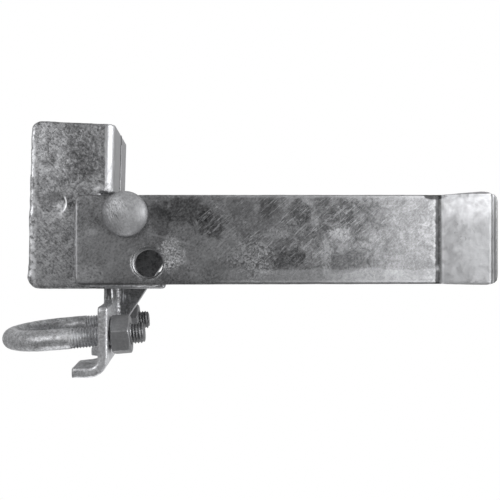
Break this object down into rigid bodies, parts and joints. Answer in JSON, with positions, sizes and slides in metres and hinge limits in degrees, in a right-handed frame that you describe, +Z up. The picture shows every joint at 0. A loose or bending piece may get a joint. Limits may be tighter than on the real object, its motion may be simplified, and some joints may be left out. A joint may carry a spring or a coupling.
{
  "type": "gravity gate latch",
  "caption": "Gravity gate latch: a fork of two flat arms lifts on a pivot bracket that a U-bolt clamps to a gate tube; its folded heel rests on the tube.",
  "frame": {"origin": "on the axis of the gate tube that the U-bolt clamps, level with the bolt holes of the clamp plate", "axes": "+Z up along the gate tube, in the working position with the U-bolt above the pivot (the picture shows the latch the other way up, so its image down is +Z); the arms point along -X away from the tube; the pivot runs along Y, bolt head at -Y"},
  "size_m": [0.2838, 0.0989, 0.1436],
  "materials": {
    "galvanised_plate": "hot-dip galvanised, mottled, half gloss",
    "galvanised_plate_dark": "hot-dip galvanised, dull",
    "galvanised_rod": "hot-dip galvanised",
    "bolt_head": "galvanised, light satin",
    "dull_nut": "spun galvanised, matt",
    "weld_bead": "galvanised weld, rough"
  },
  "bodies": {
    "bracket": {"clamp_plate": "galvanised_plate", "blade": "galvanised_plate_dark", "pivot_bush": "galvanised_plate_dark", "blade_weld_front": "weld_bead", "blade_weld_rear": "weld_bead", "bush_weld_front": "weld_bead", "bush_weld_rear": "weld_bead", "clamp_nut_front": "dull_nut", "clamp_nut_rear": "dull_nut"},
    "clamp": {"u_bolt": "galvanised_rod"},
    "fork": {"heel_plate_front": "galvanised_plate", "heel_plate_rear": "galvanised_plate", "heel_seam_weld": "weld_bead", "arm_front": "galvanised_plate", "arm_rear": "galvanised_plate", "arm_end_weld_front": "weld_bead", "arm_end_weld_rear": "weld_bead", "arm_ledge_weld_front": "weld_bead", "arm_ledge_weld_rear": "weld_bead", "pivot_bolt": "bolt_head", "pivot_washer": "galvanised_rod", "pivot_nut": "dull_nut"}
  },
  "joints": [
    {"name": "fork_lift", "type": "hinge", "parent": "bracket", "child": "fork", "pos_m": [-0.0358, 0, -0.0695], "axis": [0, 1, 0], "range_deg": [0, 30]},
    {"name": "u_bolt_draw", "type": "slide", "parent": "bracket", "child": "clamp", "axis": [-0.9967, 0, -0.0809], "range_m": [0, 0.01]}
  ]
}
